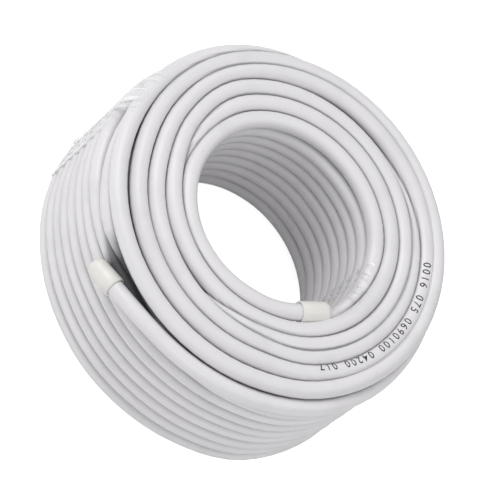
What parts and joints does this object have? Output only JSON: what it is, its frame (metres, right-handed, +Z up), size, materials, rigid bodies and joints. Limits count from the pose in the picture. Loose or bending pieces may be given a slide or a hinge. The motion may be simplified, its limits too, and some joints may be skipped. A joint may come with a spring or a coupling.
{
  "type": "coaxial cable coil",
  "caption": "Free-standing coil of white round coaxial cable, its ends closed with push-on caps, held by clear film bands wrapped round its section.",
  "frame": {"origin": "middle of the coil's footprint on the floor", "axes": "+Z up along the coil's axis, +X towards the front film band, -Y towards the outer cable end"},
  "size_m": [0.1486, 0.1456, 0.0706],
  "materials": {
    "jacket": "satin white PVC jacket with a faint drawn texture",
    "end_cap": "warm white soft moulded plastic, satin",
    "film": "clear glossy stretch film"
  },
  "bodies": {
    "root": {"cable_coil": "jacket", "outer_end_cap": "end_cap", "inner_end_cap": "end_cap", "front_film_band": "film", "back_film_band": "film"}
  },
  "joints": []
}
